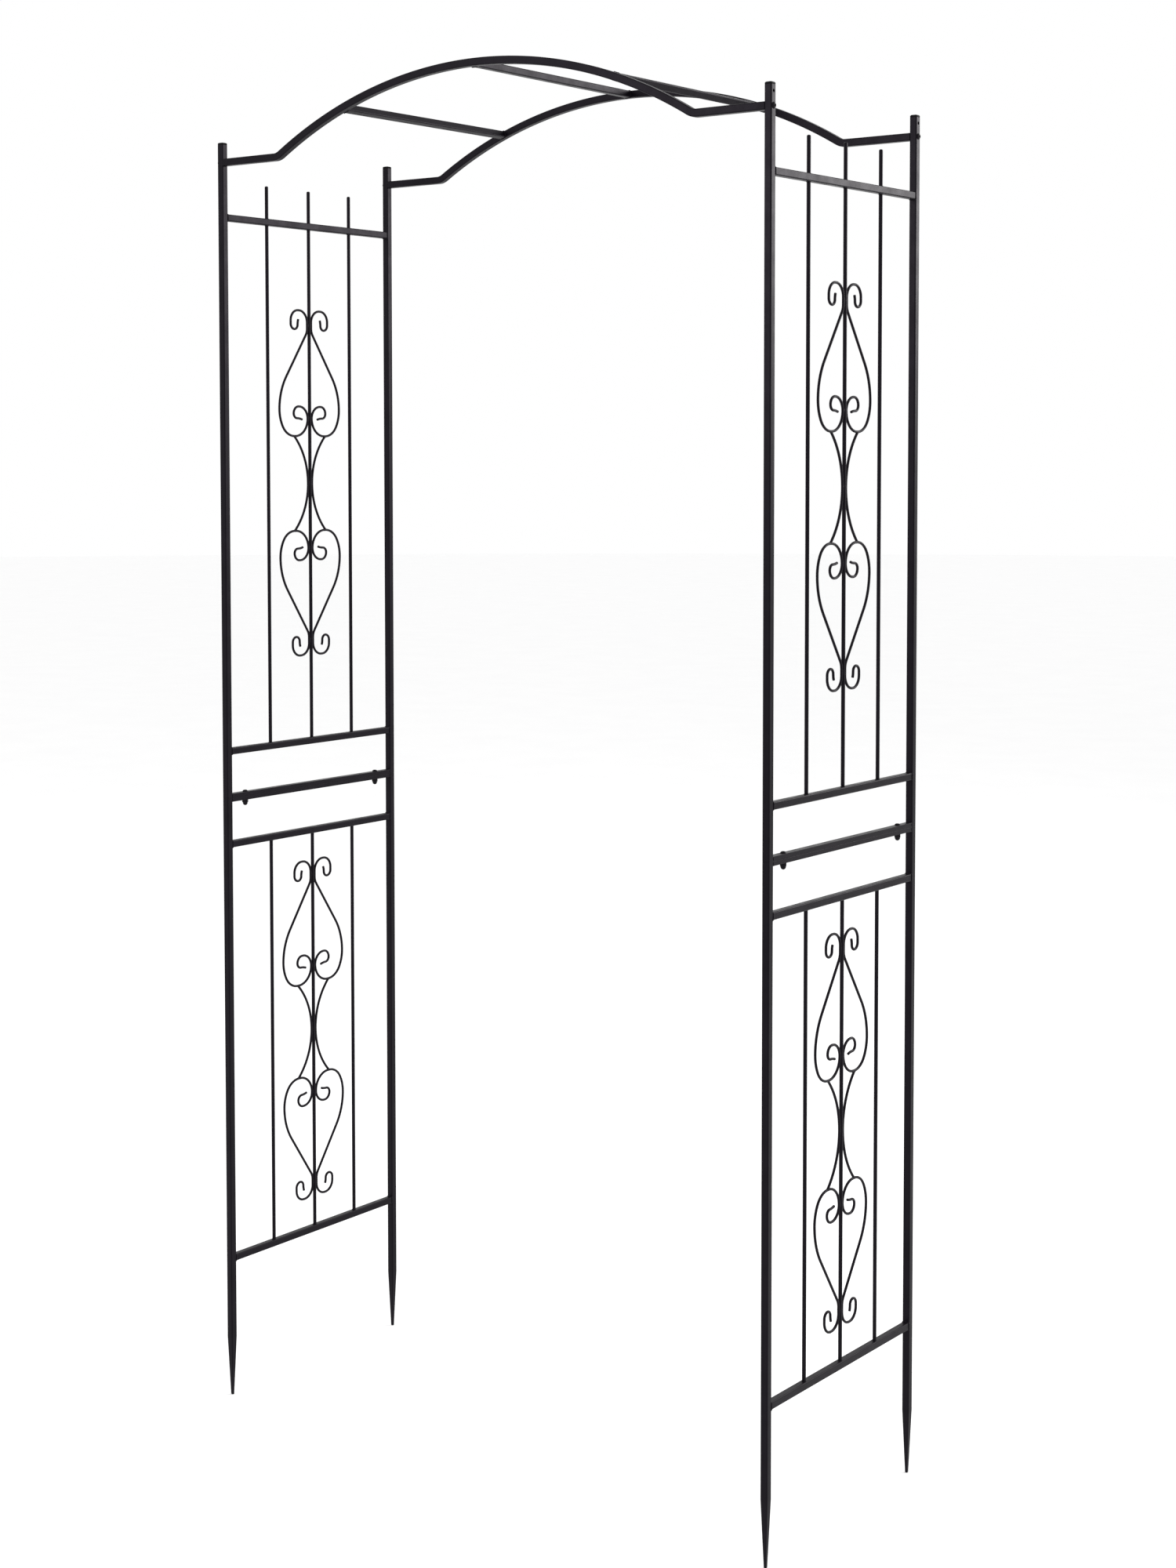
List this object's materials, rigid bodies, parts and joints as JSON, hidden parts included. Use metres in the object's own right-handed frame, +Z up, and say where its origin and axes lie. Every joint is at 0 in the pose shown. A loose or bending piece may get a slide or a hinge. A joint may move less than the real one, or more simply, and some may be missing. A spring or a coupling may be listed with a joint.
{
  "type": "garden trellis arch",
  "caption": "Walk-through garden arch of square steel tube, with barred side trellises, wire scrollwork, bent roof tubes, cross bars and ground spikes.",
  "frame": {"origin": "on the ground plane at the spike tips, midway between the four posts", "axes": "+X across the path to the right, +Y along the path away from the front, +Z up"},
  "size_m": [1.1892, 0.458, 2.3925],
  "materials": {
    "frame_paint": "satin black powder coat",
    "fastener_black": "black coated, slightly glossier than the frame",
    "cap_plastic": "matt black moulded plastic",
    "bare_steel": "plain steel, hidden inside the tubes"
  },
  "bodies": {
    "root": {"left_front_upper_post": "frame_paint", "left_back_upper_post": "frame_paint", "right_front_upper_post": "frame_paint", "right_back_upper_post": "frame_paint", "left_front_lower_post": "frame_paint", "left_back_lower_post": "frame_paint", "right_front_lower_post": "frame_paint", "right_back_lower_post": "frame_paint", "left_top_rail": "frame_paint", "left_upper_sill": "frame_paint", "left_upper_joint_rail": "frame_paint", "left_lower_joint_rail": "frame_paint", "left_lower_head": "frame_paint", "left_bottom_rail": "frame_paint", "right_top_rail": "frame_paint", "right_upper_sill": "frame_paint", "right_upper_joint_rail": "frame_paint", "right_lower_joint_rail": "frame_paint", "right_lower_head": "frame_paint", "right_bottom_rail": "frame_paint", "left_upper_front_bar": "frame_paint", "left_upper_middle_bar": "frame_paint", "left_upper_back_bar": "frame_paint", "left_lower_front_bar": "frame_paint", "left_lower_middle_bar": "frame_paint", "left_lower_back_bar": "frame_paint", "right_upper_front_bar": "frame_paint", "right_upper_middle_bar": "frame_paint", "right_upper_back_bar": "frame_paint", "right_lower_front_bar": "frame_paint", "right_lower_middle_bar": "frame_paint", "right_lower_back_bar": "frame_paint", "left_upper_scrolls": "frame_paint", "left_lower_scrolls": "frame_paint", "right_upper_scrolls": "frame_paint", "right_lower_scrolls": "frame_paint", "left_upper_bows": "frame_paint", "left_lower_bows": "frame_paint", "right_upper_bows": "frame_paint", "right_lower_bows": "frame_paint", "front_arch_tube": "frame_paint", "back_arch_tube": "frame_paint", "left_cross_bar": "frame_paint", "middle_cross_bar": "frame_paint", "right_cross_bar": "frame_paint", "post_caps": "cap_plastic", "post_plugs": "bare_steel", "arch_bolts": "fastener_black", "arch_nut_blocks": "bare_steel", "joint_bolts": "fastener_black", "joint_cap_nuts": "fastener_black"}
  },
  "joints": []
}
